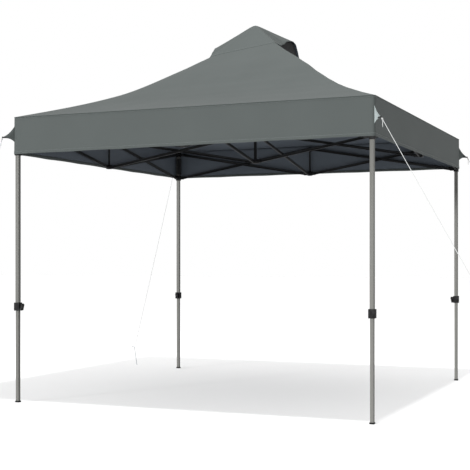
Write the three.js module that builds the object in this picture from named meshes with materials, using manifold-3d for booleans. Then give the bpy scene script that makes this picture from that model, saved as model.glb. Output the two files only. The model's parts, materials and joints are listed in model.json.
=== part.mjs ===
// A vented pop-up canopy, 3 m by 3 m, set up on its four telescoping legs.
// Millimetres, +Z up, the ground centre at the origin, +X to the right, -Y to the front.
//
// Twenty-four equal bars make the folding truss. Each side of the square holds two
// scissor pairs between a mid-side connector pair and the corners, and four more pairs
// run inwards from the mid-sides to the centre hubs. Every bar turns on pins, the corner
// sliders run down the outer legs, and the whole truss closes as one.
//
// The frame repeats every quarter turn: quadrant 0 holds the right-hand side and the
// back right corner, and the others are turned copies of it.

import * as THREE from "three";
import { mergeVertices } from "three/addons/utils/BufferGeometryUtils.js";
import Module from "manifold-3d";

const wasm = await Module();
wasm.setup();

// ---------------------------------------------------------------- driving dimensions

const LEG_SPAN = 2900;            // leg centre to leg centre
const UPPER_Z = 2225;             // plane of the upper pivots
const PAIR_RISE = 240;            // upper pivots above the lower ones, set up

const OUTER_LEG = 30;             // square tube, across the flats
const LEG_WALL = 1.1;
const LEG_PLAY = 0.9;             // inner leg inside outer leg, each side
const LEG_OVERLAP = 250;          // inner leg inside the outer one, fully drawn out
const CLAMP_Z = 760;              // middle of the height clamp
const CLAMP_HEIGHT = 64;
const CLAMP_WIDTH = 47;
const FOOT_WIDTH = 34;
const FOOT_HEIGHT = 12;
const FOOT_BASE = 4;

const LEVER_REACH = 28;
const LEVER_WIDTH = 26;
const LEVER_HEIGHT = 54;
const LEVER_TAPER = 10;           // the lever is this much slimmer at its foot
const LEVER_HEEL = 8;             // round heel about the lever's pivot
const LEVER_PIN = 1.8;
const LEVER_PIN_PLAY = 0.8;
const EAR_THICKNESS = 4;          // ears of the clamp, either side of the lever
const EAR_RISE = 2;               // ears and lever start this far above the clamp's foot

const BAR_HEIGHT = 24;
const BAR_THICKNESS = 12;
const BAR_WALL = 0.9;
const BAR_END = 14;               // bar beyond its last pivot
const BAR_GAP = 2;                // between the two bars of a pair

const PIVOT_OFFSET = 45;          // pivot from the middle of its connector
const CONNECTOR_HALF = 20;        // half width of a moulded connector block
const CONNECTOR_HEIGHT = 36;
const CHEEK = 4;                  // fork cheek thickness
const CHEEK_HEIGHT = 26;
const BRACKET_ROOF = 4;           // top wall of a leg's bracket
const CHEEK_END = 12;             // cheek beyond the pivot
const PIN_RADIUS = 3.1;
const PIN_PLAY = 1.1;

const SLIDER_HEIGHT = 50;
const SLIDER_PLAY = 0.6;
const HUB_HALF = 24;
const MID_POST_RADIUS = 8;
const MID_POST_ENTRY = 12;        // post tip inside the lower connector
const POST_PLAY = 0.7;

const POLE_RADIUS = 12.5;         // outer tube of the centre pole
const POLE_WALL = 1.5;
const POLE_PLAY = 0.7;
const POLE_RISE = 395;            // outer tube above the upper pivots
const POLE_OVERLAP = 420;         // inner tube inside the outer one
const POLE_CAP_RADIUS = 32;
const POLE_CAP_RIM = 8;

const CLOTH = 1;                  // cover thickness
const COVER_PLAY = 5;             // cover from the leg brackets, each side
const EAVE_RISE = 37;             // eave above the upper pivots
const VALANCE = 279;
// The hips above the eave, a hollow curve: half width, then rise.
const HIP_POINTS = [[870, 219], [500, 450], [300, 593], [200, 663]];
const PEAK_RISE = 898;            // peak above the eave
const VENT_CORNER = 2;            // the vent cap's corners sit on this one of the hip points
const VENT_ARCH = 140;            // rise of the vent cap's edge between its corners
const VENT_CAP_STEPS = 4;         // straight runs along each edge of the vent cap

const FLAP_REACH = 85;            // corner flap, out along the diagonal
const FLAP_TOP = 62;              // top, tip and foot of the flap, below the eave
const FLAP_TIP = 162;
const FLAP_FOOT = 207;
const FLAP_THICKNESS = 2;
const FLAP_TIP_HALF = 4;

const ROPE_RADIUS = 2.25;
const ROPE_SIDES = 8;
const ROPE_STEPS = 16;
const ROPE_SAG = 8;               // at mid-span of a tight guy rope
const PEG_RADIUS = 3;
const PEG_HEIGHT = 200;
const PEG_LEAN = 30;              // the peg's head leans this far away from the tent
const PEG_HOOK = 14;              // radius of the bent head
// How far each corner's peg stands outside its leg, sideways and to front or back.
const PEG_SPOTS = {
  back_right: [1050, 210],
  back_left: [-550, 110],
  front_left: [-630, -190],
  front_right: [1150, -150],
};

const SEAT_GAP = 0.3;             // between two pieces that rest on each other
const LEVER_GAP = 0.4;            // lever heel from the face of its clamp
const FACE_PLAY = 0.4;            // bar in its fork, each side

// ---------------------------------------------------------------- derived dimensions

const HALF = LEG_SPAN / 2;
const PLY = (BAR_THICKNESS + BAR_GAP) / 2;      // bar centre from its pair's plane
const LOWER_Z = UPPER_Z - PAIR_RISE;            // plane of the lower pivots
const PAIR_RUN = HALF - 2 * PIVOT_OFFSET;
const BAR_LENGTH = Math.hypot(PAIR_RUN, PAIR_RISE);   // pivot to pivot
const BAR_ANGLE = Math.atan2(PAIR_RISE, PAIR_RUN);
const INNER_LEG = OUTER_LEG - 2 * (LEG_WALL + LEG_PLAY);
const CLAMP_FOOT = CLAMP_Z - CLAMP_HEIGHT / 2;
const EAVE_HALF = HALF + CONNECTOR_HALF + COVER_PLAY;
const EAVE_Z = UPPER_Z + EAVE_RISE;
const HIP = [[EAVE_HALF, EAVE_Z], ...HIP_POINTS.map(([half, rise]) => [half, EAVE_Z + rise])];
const EAVE_SLOPE = (HIP[1][1] - EAVE_Z) / (EAVE_HALF - HIP[1][0]);
const PEAK_Z = EAVE_Z + PEAK_RISE;
const [VENT_HALF, VENT_RISE] = HIP_POINTS[VENT_CORNER];
const VENT_Z = EAVE_Z + VENT_RISE;
const BRACKET_TOP = EAVE_Z + COVER_PLAY * EAVE_SLOPE - CLOTH - SEAT_GAP;
const POLE_TOP = UPPER_Z + POLE_RISE;
const POLE_TIP_RADIUS = POLE_RADIUS - POLE_WALL - POLE_PLAY;
const POLE_TOP_END = PEAK_Z - CLOTH - SEAT_GAP;
const VENT_FALL = (PEAK_Z - VENT_Z + CLOTH) / (VENT_HALF * Math.SQRT2);   // vent cap, on its hips
const FLAP_TIP_Z = EAVE_Z - FLAP_TIP;

const SIDES = ["right", "back", "left", "front"];
const CORNERS = ["back_right", "back_left", "front_left", "front_right"];
const QUARTER = Math.PI / 2;

// ---------------------------------------------------------------- materials

function finish(color, roughness, metalness) {
  return new THREE.MeshStandardMaterial({ color, roughness, metalness });
}

const LEG_PAINT = finish("#a6a6a2", 0.45, 0.5);
const BAR_PAINT = finish("#1d1e21", 0.5, 0.3);
const MOULDED_BLACK = finish("#141516", 0.55, 0);
const COVER_CLOTH = finish("#6b706e", 0.85, 0);
const CORD_WHITE = finish("#d8d7d1", 0.9, 0);
const PEG_STEEL = finish("#8d9094", 0.35, 1);

// ---------------------------------------------------------------- solids

function toSolid(geometry) {
  const bare = geometry.clone();
  for (const name of Object.keys(bare.attributes)) {
    if (name !== "position") bare.deleteAttribute(name);
  }
  const merged = mergeVertices(bare, 1e-4);
  const corners = merged.index.array;
  const kept = [];
  for (let i = 0; i < corners.length; i += 3) {
    const [a, b, c] = [corners[i], corners[i + 1], corners[i + 2]];
    if (a !== b && b !== c && c !== a) kept.push(a, b, c);
  }
  return new wasm.Manifold(new wasm.Mesh({
    numProp: 3,
    vertProperties: new Float32Array(merged.attributes.position.array),
    triVerts: new Uint32Array(kept),
  }));
}

function toGeometry(solid) {
  const mesh = solid.getMesh();
  const geometry = new THREE.BufferGeometry();
  geometry.setAttribute("position", new THREE.BufferAttribute(mesh.vertProperties, 3));
  geometry.setIndex(new THREE.BufferAttribute(mesh.triVerts, 1));
  return geometry;
}

function join(geometries) {
  return toGeometry(geometries.map(toSolid).reduce((all, next) => all.add(next)));
}

function cut(geometry, tools) {
  return toGeometry(tools.map(toSolid).reduce((rest, tool) => rest.subtract(tool), toSolid(geometry)));
}

// A box between two heights, centred on x and y.
function block(width, depth, low, high, x = 0, y = 0) {
  return new THREE.BoxGeometry(width, depth, high - low).translate(x, y, (low + high) / 2);
}

// An upright round bar between two heights.
function post(radius, low, high, sides = 12) {
  return new THREE.CylinderGeometry(radius, radius, high - low, sides)
    .rotateX(QUARTER).translate(0, 0, (low + high) / 2);
}

// A pin along Y, centred on a point of the XZ plane at y.
function pin(radius, length, x, y, z) {
  return new THREE.CylinderGeometry(radius, radius, length, 6).translate(x, y, z);
}

function squareTube(width, wall, low, high) {
  return cut(block(width, width, low, high), [block(width - 2 * wall, width - 2 * wall, low - 1, high + 1)]);
}

// A four-sided solid of revolution: each point is a half width and a height.
function squareLathe(profile) {
  const points = profile.map(([half, z]) => new THREE.Vector2(half * Math.SQRT2, z));
  return new THREE.LatheGeometry(points, 4, Math.PI / 4).rotateX(QUARTER);
}

// ---------------------------------------------------------------- truss pieces

// One bar along +X from its first pivot, with its pin holes. A riveted bar carries the
// pair's crossing pin, which runs through the hole of its partner on the side given.
function bar(rivetSide) {
  const length = BAR_LENGTH + 2 * BAR_END;
  const middle = BAR_LENGTH / 2;
  const tube = cut(
    new THREE.BoxGeometry(length, BAR_THICKNESS, BAR_HEIGHT).translate(middle, 0, 0),
    [new THREE.BoxGeometry(length + 2, BAR_THICKNESS - 2 * BAR_WALL, BAR_HEIGHT - 2 * BAR_WALL)
      .translate(middle, 0, 0)],
  );
  const holes = [0, BAR_LENGTH];
  if (rivetSide === 0) holes.push(middle);
  const drilled = cut(tube, holes.map((x) => pin(PIN_RADIUS + PIN_PLAY, BAR_THICKNESS + 2, x, 0, 0)));
  if (rivetSide === 0) return drilled;
  const rivet = pin(PIN_RADIUS, 2 * PLY + BAR_THICKNESS, middle, rivetSide * PLY, 0);
  return join([drilled, rivet]);
}

// A fork for one bar end: two cheeks and the pin across them. The fork reaches out
// along the heading (radians about Z), its bar lies at the given offset to the left.
function fork(heading, offset, z, half) {
  const reach = PIVOT_OFFSET + CHEEK_END - half + 1;
  const start = half - 1;
  const faceY = BAR_THICKNESS / 2 + FACE_PLAY;
  const pieces = [-1, 1].map((side) => block(
    reach, CHEEK, z - CHEEK_HEIGHT / 2, z + CHEEK_HEIGHT / 2,
    start + reach / 2, offset + side * (faceY + CHEEK / 2),
  ));
  pieces.push(pin(PIN_RADIUS, 2 * (faceY + CHEEK), PIVOT_OFFSET, offset, z));
  return pieces.map((piece) => piece.rotateZ(heading));
}

const TO_LEFT = PLY;
const TO_RIGHT = -PLY;

// The moulded hub that the four falling inner bars hang from; the pole runs through it.
function upperHub() {
  const z = UPPER_Z;
  const body = block(2 * HUB_HALF, 2 * HUB_HALF, z - CONNECTOR_HEIGHT / 2, z + CONNECTOR_HEIGHT / 2);
  const forks = [0, 1, 2, 3].flatMap((k) => fork(k * QUARTER, TO_LEFT, z, HUB_HALF));
  const hole = post(POLE_RADIUS + POLE_PLAY, z - CONNECTOR_HEIGHT, z + CONNECTOR_HEIGHT);
  return cut(join([body, ...forks]), [hole]);
}

// The lower hub with the outer tube of the centre pole standing on it.
function lowerHub() {
  const z = LOWER_Z;
  const body = block(2 * HUB_HALF, 2 * HUB_HALF, z - CONNECTOR_HEIGHT / 2, z + CONNECTOR_HEIGHT / 2);
  const forks = [0, 1, 2, 3].flatMap((k) => fork(k * QUARTER, TO_RIGHT, z, HUB_HALF));
  const tube = post(POLE_RADIUS, z, POLE_TOP);
  const bore = post(POLE_RADIUS - POLE_WALL, z + CONNECTOR_HEIGHT / 2, POLE_TOP + 1);
  return cut(join([body, ...forks, tube]), [bore]);
}

// The inner tube of the centre pole, with the cone-topped cap that carries the cover's peak.
function poleTip() {
  const capRim = POLE_TOP_END - POLE_CAP_RADIUS * VENT_FALL;
  const capFoot = capRim - POLE_CAP_RIM;
  const dome = [
    new THREE.Vector2(0, capFoot),
    new THREE.Vector2(POLE_CAP_RADIUS, capFoot),
    new THREE.Vector2(POLE_CAP_RADIUS, capRim),
    new THREE.Vector2(0, POLE_TOP_END),
  ];
  const cap = new THREE.LatheGeometry(dome, 12).rotateX(QUARTER);
  const foot = POLE_TOP - POLE_OVERLAP;
  const tube = post(POLE_TIP_RADIUS, foot, capFoot + 1);
  const bore = post(POLE_TIP_RADIUS - POLE_WALL, foot - 1, capFoot);
  return cut(join([tube, cap]), [bore]);
}

// The upper connector of the right-hand side, with the post that seats in the lower one.
function midUpper() {
  const z = UPPER_Z;
  const body = block(2 * CONNECTOR_HALF, 2 * CONNECTOR_HALF,
    z - CONNECTOR_HEIGHT / 2, z + CONNECTOR_HEIGHT / 2);
  const postTip = LOWER_Z + CONNECTOR_HEIGHT / 2 - MID_POST_ENTRY;
  return join([
    body,
    post(MID_POST_RADIUS, postTip, z),
    ...fork(2 * QUARTER, TO_LEFT, z, CONNECTOR_HALF),
    ...fork(QUARTER, TO_RIGHT, z, CONNECTOR_HALF),
    ...fork(-QUARTER, TO_LEFT, z, CONNECTOR_HALF),
  ]).translate(HALF, 0, 0);
}

function midLower() {
  const z = LOWER_Z;
  const body = block(2 * CONNECTOR_HALF, 2 * CONNECTOR_HALF,
    z - CONNECTOR_HEIGHT / 2, z + CONNECTOR_HEIGHT / 2);
  const solid = join([
    body,
    ...fork(2 * QUARTER, TO_RIGHT, z, CONNECTOR_HALF),
    ...fork(QUARTER, TO_LEFT, z, CONNECTOR_HALF),
    ...fork(-QUARTER, TO_RIGHT, z, CONNECTOR_HALF),
  ]);
  const socket = post(MID_POST_RADIUS + POST_PLAY, z - CONNECTOR_HEIGHT, z + CONNECTOR_HEIGHT);
  return cut(solid, [socket]).translate(HALF, 0, 0);
}

// ---------------------------------------------------------------- leg pieces

// The two ears of the height clamp and the pin of its lever, on the face towards -X.
function clampEars() {
  const face = -CLAMP_WIDTH / 2;
  const out = LEVER_GAP + 2 * LEVER_HEEL;
  const low = CLAMP_FOOT + EAR_RISE;
  const centre = (LEVER_WIDTH + EAR_THICKNESS) / 2 + FACE_PLAY;
  const ears = [-1, 1].map((side) => block(
    out + 1, EAR_THICKNESS, low, low + 2 * LEVER_HEEL, face - (out - 1) / 2, side * centre,
  ));
  const leverPin = pin(LEVER_PIN, 2 * centre + EAR_THICKNESS,
    face - LEVER_GAP - LEVER_HEEL, 0, low + LEVER_HEEL);
  return [...ears, leverPin];
}

// The outer leg with its top bracket and, at its foot, the collar of the height clamp.
function outerLeg() {
  const bore = OUTER_LEG - 2 * LEG_WALL;
  const bracketFoot = UPPER_Z - CONNECTOR_HEIGHT / 2;
  const solid = join([
    block(OUTER_LEG, OUTER_LEG, CLAMP_FOOT, bracketFoot + 1),
    block(2 * CONNECTOR_HALF, 2 * CONNECTOR_HALF, bracketFoot, BRACKET_TOP),
    block(CLAMP_WIDTH, CLAMP_WIDTH, CLAMP_FOOT, CLAMP_FOOT + CLAMP_HEIGHT),
    ...clampEars(),
    ...fork(-QUARTER, TO_RIGHT, UPPER_Z, CONNECTOR_HALF),
    ...fork(2 * QUARTER, TO_LEFT, UPPER_Z, CONNECTOR_HALF),
  ]);
  return cut(solid, [block(bore, bore, CLAMP_FOOT - 1, BRACKET_TOP - BRACKET_ROOF)])
    .translate(HALF, HALF, 0);
}

// The inner leg, drawn right out, standing on its flat foot cap.
function innerLeg() {
  const tube = squareTube(INNER_LEG, LEG_WALL, FOOT_BASE, CLAMP_Z + LEG_OVERLAP);
  const foot = block(FOOT_WIDTH, FOOT_WIDTH, 0, FOOT_HEIGHT);
  const socket = block(INNER_LEG - 2 * LEG_WALL, INNER_LEG - 2 * LEG_WALL, FOOT_BASE, FOOT_HEIGHT + 1);
  return join([cut(foot, [socket]), tube]).translate(HALF, HALF, 0);
}

// The runner that carries the lower ends of the two falling side bars down the leg.
function slider() {
  const low = LOWER_Z - SLIDER_HEIGHT / 2;
  const high = LOWER_Z + SLIDER_HEIGHT / 2;
  const solid = join([
    block(2 * CONNECTOR_HALF, 2 * CONNECTOR_HALF, low, high),
    ...fork(-QUARTER, TO_LEFT, LOWER_Z, CONNECTOR_HALF),
    ...fork(2 * QUARTER, TO_RIGHT, LOWER_Z, CONNECTOR_HALF),
  ]);
  const hole = OUTER_LEG + 2 * SLIDER_PLAY;
  return cut(solid, [block(hole, hole, low - 1, high + 1)]).translate(HALF, HALF, 0);
}

// The clamp's release lever, between the ears; its top swings out about the heel.
function lever() {
  const outline = new THREE.Shape();
  outline.moveTo(LEVER_HEEL, 0);
  outline.lineTo(LEVER_REACH - LEVER_TAPER, 0);
  outline.lineTo(LEVER_REACH, LEVER_HEIGHT - LEVER_TAPER);
  outline.lineTo(LEVER_REACH - LEVER_TAPER / 2, LEVER_HEIGHT);
  outline.lineTo(0, LEVER_HEIGHT);
  outline.lineTo(0, LEVER_HEEL);
  outline.absarc(LEVER_HEEL, LEVER_HEEL, LEVER_HEEL, Math.PI, 1.5 * Math.PI);
  const plate = new THREE.ExtrudeGeometry(outline, {
    depth: LEVER_WIDTH, bevelEnabled: false, curveSegments: 4,
  }).translate(0, 0, -LEVER_WIDTH / 2).rotateX(QUARTER).rotateZ(2 * QUARTER);
  const hole = pin(LEVER_PIN + LEVER_PIN_PLAY, LEVER_WIDTH + 2, -LEVER_HEEL, 0, LEVER_HEEL);
  return cut(plate, [hole])
    .translate(HALF - CLAMP_WIDTH / 2 - LEVER_GAP, HALF, CLAMP_FOOT + EAR_RISE);
}

// ---------------------------------------------------------------- cover

// Four roof panels and the valance, one shell, open at the vent and at the bottom.
function roofShell() {
  const foot = EAVE_Z - VALANCE;
  const inside = EAVE_HALF - CLOTH;
  const insideEave = EAVE_Z + CLOTH * EAVE_SLOPE - CLOTH;
  const outer = [[EAVE_HALF, foot], ...HIP];
  const upper = HIP.slice(1).reverse().map(([half, z]) => [half, z - CLOTH]);
  return squareLathe([...outer, ...upper, [inside, insideEave], [inside, foot], outer[0]]);
}

// The vent cap: a small roof whose corners sit on the hips and whose edges arch up.
function ventCap() {
  const cornerZ = VENT_Z - CLOTH / 2;
  const ring = [];
  for (let side = 0; side < 4; side += 1) {
    for (let step = 0; step < VENT_CAP_STEPS; step += 1) {
      const along = 2 * step / VENT_CAP_STEPS - 1;
      const point = new THREE.Vector3(VENT_HALF, along * VENT_HALF,
        cornerZ + VENT_ARCH * Math.sqrt(1 - along ** 4));
      ring.push(point.applyAxisAngle(new THREE.Vector3(0, 0, 1), side * QUARTER));
    }
  }
  const count = ring.length;
  const positions = [[0, 0, PEAK_Z], ...ring.map((p) => p.toArray())];
  positions.push(...positions.map(([x, y, z]) => [x, y, z - CLOTH]));
  const below = count + 1;
  const faces = [];
  for (let i = 0; i < count; i += 1) {
    const here = 1 + i;
    const next = 1 + (i + 1) % count;
    faces.push(0, here, next);
    faces.push(below, below + next, below + here);
    faces.push(here, below + here, below + next);
    faces.push(here, below + next, next);
  }
  const geometry = new THREE.BufferGeometry();
  geometry.setAttribute("position", new THREE.Float32BufferAttribute(positions.flat(), 3));
  geometry.setIndex(faces);
  return geometry;
}

// The flap sewn into each corner of the valance, with the eye for the guy rope at its tip.
function cornerFlap(k) {
  const start = (EAVE_HALF - CLOTH / 2) * Math.SQRT2;
  const tip = EAVE_HALF * Math.SQRT2 + FLAP_REACH;
  const outline = new THREE.Shape([
    new THREE.Vector2(start, EAVE_Z - FLAP_FOOT),
    new THREE.Vector2(tip, FLAP_TIP_Z - FLAP_TIP_HALF),
    new THREE.Vector2(tip, FLAP_TIP_Z + FLAP_TIP_HALF),
    new THREE.Vector2(start, EAVE_Z - FLAP_TOP),
  ]);
  return new THREE.ExtrudeGeometry(outline, { depth: FLAP_THICKNESS, bevelEnabled: false })
    .translate(0, 0, -FLAP_THICKNESS / 2).rotateX(QUARTER).rotateZ((k + 0.5) * QUARTER);
}

function cover() {
  const flaps = [0, 1, 2, 3].map(cornerFlap);
  return join([roofShell(), ventCap(), ...flaps]);
}

// ---------------------------------------------------------------- guy ropes and pegs

// The bent steel peg: a straight shank that leans away from the tent, and its hook.
function pegPath(corner) {
  const [x, y] = PEG_SPOTS[corner];
  const away = new THREE.Vector3(Math.sign(x), 0, 0);
  const foot = new THREE.Vector3(
    x + Math.sign(x) * HALF, y + Math.sign(y) * HALF, PEG_RADIUS + SEAT_GAP);
  const up = new THREE.Vector3(0, 0, 1);
  const neck = foot.clone().addScaledVector(up, PEG_HEIGHT - PEG_HOOK).addScaledVector(away, PEG_LEAN);
  const points = [foot, foot.clone().lerp(neck, 0.5), neck];
  for (const turn of [0.25, 0.5, 0.75, 1]) {
    const angle = Math.PI * turn;
    points.push(neck.clone()
      .addScaledVector(away, PEG_HOOK * (1 - Math.cos(angle)))
      .addScaledVector(up, PEG_HOOK * Math.sin(angle)));
  }
  return points;
}

function sweep(points, radius, sides, steps) {
  const section = new THREE.Shape();
  for (let i = 0; i < sides; i += 1) {
    const angle = i * 2 * Math.PI / sides;
    const place = [radius * Math.cos(angle), radius * Math.sin(angle)];
    if (i === 0) section.moveTo(...place);
    else section.lineTo(...place);
  }
  const extrudePath = new THREE.CatmullRomCurve3(points);
  return new THREE.ExtrudeGeometry(section, { steps, bevelEnabled: false, extrudePath });
}

function peg(corner) {
  return sweep(pegPath(corner), PEG_RADIUS, 6, 12);
}

// A tight rope from the eye of the corner flap to the neck of its peg. It comes down on
// a slant, so its end clears the peg though its middle is nearer than the two radii.
function guyRope(corner, k) {
  const reach = EAVE_HALF * Math.SQRT2 + FLAP_REACH + ROPE_RADIUS + SEAT_GAP;
  const heading = (k + 0.5) * QUARTER;
  const start = new THREE.Vector3(reach * Math.cos(heading), reach * Math.sin(heading), FLAP_TIP_Z);
  const neck = pegPath(corner)[2];
  const clear = PEG_RADIUS + ROPE_RADIUS - SEAT_GAP;
  const end = neck.clone().sub(new THREE.Vector3(Math.sign(neck.x) * clear, 0, 0));
  const middle = start.clone().lerp(end, 0.5);
  middle.z -= ROPE_SAG;
  return sweep([start, middle, end], ROPE_RADIUS, ROPE_SIDES, ROPE_STEPS);
}

// ---------------------------------------------------------------- assembly

const canopy = new THREE.Group();

function add(parent, name, geometry, material) {
  const mesh = new THREE.Mesh(geometry, material);
  mesh.name = name;
  parent.add(mesh);
  return mesh;
}

// Places a bar in the group's XZ plane: from (x, z) outwards, falling or rising.
function addBar(parent, name, geometry, x, y, z, falling) {
  const mesh = add(parent, name, geometry, BAR_PAINT);
  mesh.position.set(x, y, z);
  mesh.rotation.y = falling ? BAR_ANGLE : -BAR_ANGLE;
}

const plainBar = bar(0);
const rivetedLeft = bar(1);
const rivetedRight = bar(-1);

add(canopy, "upper_hub", upperHub(), MOULDED_BLACK);
add(canopy, "lower_hub_and_pole", lowerHub(), MOULDED_BLACK);
add(canopy, "pole_tip", poleTip(), MOULDED_BLACK);
add(canopy, "cover", cover(), COVER_CLOTH);

for (let k = 0; k < 4; k += 1) {
  const side = SIDES[k];
  const corner = CORNERS[k];
  const quadrant = new THREE.Group();
  quadrant.rotation.z = k * QUARTER;
  canopy.add(quadrant);

  addBar(quadrant, `inner_bar_${side}_falling`, rivetedRight, PIVOT_OFFSET, TO_LEFT, UPPER_Z, true);
  addBar(quadrant, `inner_bar_${side}_rising`, plainBar, PIVOT_OFFSET, TO_RIGHT, LOWER_Z, false);
  add(quadrant, `mid_upper_${side}`, midUpper(), MOULDED_BLACK);
  add(quadrant, `mid_lower_${side}`, midLower(), MOULDED_BLACK);

  for (const way of [1, -1]) {
    const toward = SIDES[(k + way + 4) % 4];
    const run = new THREE.Group();
    run.position.x = HALF;
    run.rotation.z = way * QUARTER;
    quadrant.add(run);
    const outside = -way * PLY;
    const riveted = way > 0 ? rivetedLeft : rivetedRight;
    addBar(run, `${side}_bar_to_${toward}_slider`, riveted, PIVOT_OFFSET, outside, UPPER_Z, true);
    addBar(run, `${side}_bar_to_${toward}_bracket`, plainBar, PIVOT_OFFSET, -outside, LOWER_Z, false);
  }

  add(quadrant, `outer_leg_${corner}`, outerLeg(), LEG_PAINT);
  add(quadrant, `inner_leg_${corner}`, innerLeg(), LEG_PAINT);
  add(quadrant, `slider_${corner}`, slider(), MOULDED_BLACK);
  add(quadrant, `lever_${corner}`, lever(), MOULDED_BLACK);
  add(canopy, `guy_rope_${corner}`, guyRope(corner, k), CORD_WHITE);
  add(canopy, `peg_${corner}`, peg(corner), PEG_STEEL);
}

export default canopy;
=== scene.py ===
# %% [markdown]
# # A pop-up canopy, standing on its four legs
#
# The real thing is a square cloth roof over a folding steel truss. Four telescoping legs carry
# it, and four guy ropes run from its corners to pegs in the ground. The hard frame comes from
# CAD, already packed with its joints. This lesson gives that frame its finishes, rounds its
# edges, and makes everything that is cloth or rope.

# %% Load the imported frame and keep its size
import json
import math

import bmesh
import bpy
from mathutils import Matrix, Vector, noise

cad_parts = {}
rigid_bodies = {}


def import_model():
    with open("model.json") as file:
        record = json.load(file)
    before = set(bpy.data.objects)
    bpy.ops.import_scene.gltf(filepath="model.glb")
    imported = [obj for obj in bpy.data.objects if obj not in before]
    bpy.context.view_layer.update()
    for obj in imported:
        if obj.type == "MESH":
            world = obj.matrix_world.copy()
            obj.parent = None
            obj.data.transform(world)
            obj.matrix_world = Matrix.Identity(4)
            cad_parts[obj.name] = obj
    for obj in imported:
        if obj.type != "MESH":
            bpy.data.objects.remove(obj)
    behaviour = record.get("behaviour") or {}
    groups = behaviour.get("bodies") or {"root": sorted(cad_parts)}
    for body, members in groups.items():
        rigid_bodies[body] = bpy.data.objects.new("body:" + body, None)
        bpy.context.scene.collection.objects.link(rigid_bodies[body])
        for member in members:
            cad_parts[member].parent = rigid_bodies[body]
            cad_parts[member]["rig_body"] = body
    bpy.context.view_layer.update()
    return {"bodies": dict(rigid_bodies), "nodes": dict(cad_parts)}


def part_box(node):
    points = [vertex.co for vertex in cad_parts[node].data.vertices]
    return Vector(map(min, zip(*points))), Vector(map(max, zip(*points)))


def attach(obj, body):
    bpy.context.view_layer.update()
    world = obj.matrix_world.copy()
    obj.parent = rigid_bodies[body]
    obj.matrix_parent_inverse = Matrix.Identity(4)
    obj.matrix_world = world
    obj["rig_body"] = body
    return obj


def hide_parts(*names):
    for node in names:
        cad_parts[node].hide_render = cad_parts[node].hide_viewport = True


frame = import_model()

scene = bpy.context.scene

# %% [markdown]
# The tent repeats every quarter turn. Anything worked out for the right-hand side and the back
# right corner is turned on by 90 degrees for the other three, so one function does the turning.

# %% Sides, corners and the quarter turn
SIDES = ("right", "back", "left", "front")
CORNERS = ("back_right", "back_left", "front_left", "front_right")


def turned(point, quarters):
    """The point, moved on by quarter turns round the tent's middle."""
    x, y, z = point
    for _ in range(quarters % 4):
        x, y = -y, x
    return Vector((x, y, z))


def corner_of(side, way):
    """The corner that a side of the truss reaches, going on (way 1) or back (way -1)."""
    return CORNERS[side if way > 0 else (side + 3) % 4]


leg_low, leg_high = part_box("outer_leg_back_right")
hub_low, hub_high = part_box("upper_hub")
low_hub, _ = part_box("lower_hub_and_pole")
cover_low, cover_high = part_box("cover")
UPPER_Z = (hub_low.z + hub_high.z) / 2
LOWER_Z = low_hub.z + (hub_high.z - hub_low.z) / 2
print(f"upper pivots at {UPPER_Z:.3f} m, lower pivots at {LOWER_Z:.3f} m")

# %% [markdown]
# ## Camera
#
# The camera stands a little above waist height, level with the ground, and looks past the
# front right leg. A level camera keeps the legs upright, so the frame is moved up with
# the lens shift and the camera isn't tilted.

# %% Camera
camera_data = bpy.data.cameras.new("camera")
camera_data.sensor_width = 36.0
camera_data.lens = 81.44
camera_data.shift_x = -0.0008
camera_data.shift_y = 0.0534
camera_data.clip_end = 200.0
camera = bpy.data.objects.new("camera", camera_data)
scene.collection.objects.link(camera)
camera.location = (3.4391, -8.5585, 1.1292)
camera.rotation_euler = (math.radians(90), 0, math.radians(22.97))
scene.camera = camera
print("camera looks from", tuple(round(v, 2) for v in camera.location))

# %% [markdown]
# ## Small tools for meshes and nodes
#
# Every made piece is a mesh in metres whose object stays at the origin. Node trees, for
# materials and for geometry alike, are built with one function that adds a node, sets it
# and links it. Colours are written as sRGB hex, as a paint chart gives them, and turned
# linear in one place.

# %% Mesh pieces and colours
def new_piece(name, points, faces, smooth=True):
    """A mesh object at the origin, from points in metres and faces by index."""
    mesh = bpy.data.meshes.new(name)
    mesh.from_pydata([tuple(p) for p in points], [], faces)
    mesh.validate()
    for face in mesh.polygons:
        face.use_smooth = smooth
    piece = bpy.data.objects.new(name, mesh)
    scene.collection.objects.link(piece)
    return piece


def linear(hex_colour):
    """A paint chart's sRGB hex as the linear colour that shaders read."""
    parts = [int(hex_colour[i:i + 2], 16) / 255 for i in (1, 3, 5)]
    return (*[p / 12.92 if p <= 0.04045 else ((p + 0.055) / 1.055) ** 2.4 for p in parts], 1.0)


print("a middle grey, #808080, is", round(linear("#808080")[0], 3), "in linear light")
# %% Node helpers
def add(tree, kind, settings=None, inputs=None):
    """Adds a node. inputs holds sockets by name or number: a value, or the output to link."""
    node = tree.nodes.new(kind)
    for name, value in (settings or {}).items():
        setattr(node, name, value)
    for name, value in (inputs or {}).items():
        if isinstance(value, bpy.types.NodeSocket):
            tree.links.new(value, node.inputs[name])
        else:
            node.inputs[name].default_value = value
    return node


def finish_of(name):
    """An empty material with its node tree and output ready."""
    material = bpy.data.materials.new(name)
    material.use_nodes = True
    material.node_tree.nodes.clear()
    return material, material.node_tree


def shade(tree, inputs):
    """The shader at the end of a finish, joined to the output."""
    shader = add(tree, "ShaderNodeBsdfPrincipled", inputs=inputs)
    add(tree, "ShaderNodeOutputMaterial", inputs={"Surface": shader.outputs["BSDF"]})
    return shader


def mixed(tree, share, low, high):
    """A colour between two hex colours, by a share that changes over the surface."""
    node = add(tree, "ShaderNodeMix", {"data_type": "RGBA"},
               {0: share, 6: linear(low), 7: linear(high)})
    return node.outputs[2]


def spread(tree, value, low, high):
    """A pattern's 0 to 1 brought to the range low to high."""
    node = add(tree, "ShaderNodeMapRange", inputs={"Value": value, "To Min": low, "To Max": high})
    return node.outputs["Result"]


print("node helpers ready")

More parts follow.
